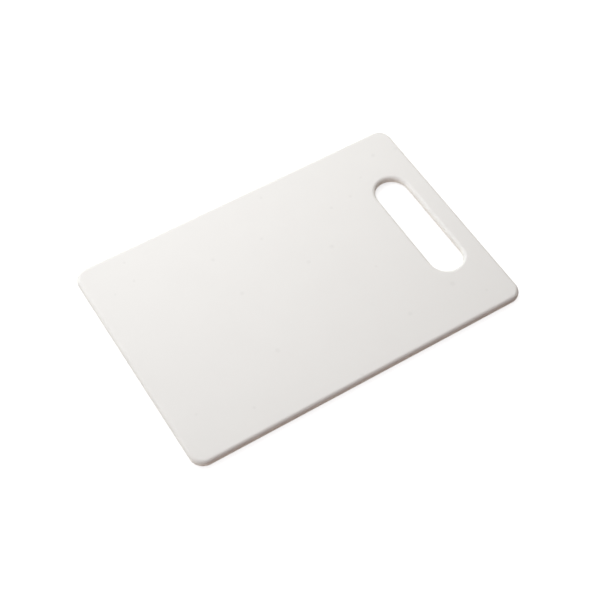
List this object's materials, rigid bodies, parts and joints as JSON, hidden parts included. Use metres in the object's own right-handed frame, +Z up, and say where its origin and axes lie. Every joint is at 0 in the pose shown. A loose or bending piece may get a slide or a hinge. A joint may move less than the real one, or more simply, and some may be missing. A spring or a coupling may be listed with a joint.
{
  "type": "cutting mat",
  "caption": "One-piece moulded plastic cutting mat, a flat plate with rounded corners, rolled edges and a round-ended hand slot across one end.",
  "frame": {"origin": "middle of the flat underside, on the surface that the mat lies on", "axes": "+X along the length of the mat towards its hand slot, +Y across the width, +Z up out of the working face"},
  "size_m": [0.295, 0.2, 0.007],
  "materials": {
    "white_polyethylene": "opaque white polyethylene with a fine matte moulded texture"
  },
  "bodies": {
    "root": {"moulded_mat": "white_polyethylene"}
  },
  "joints": []
}
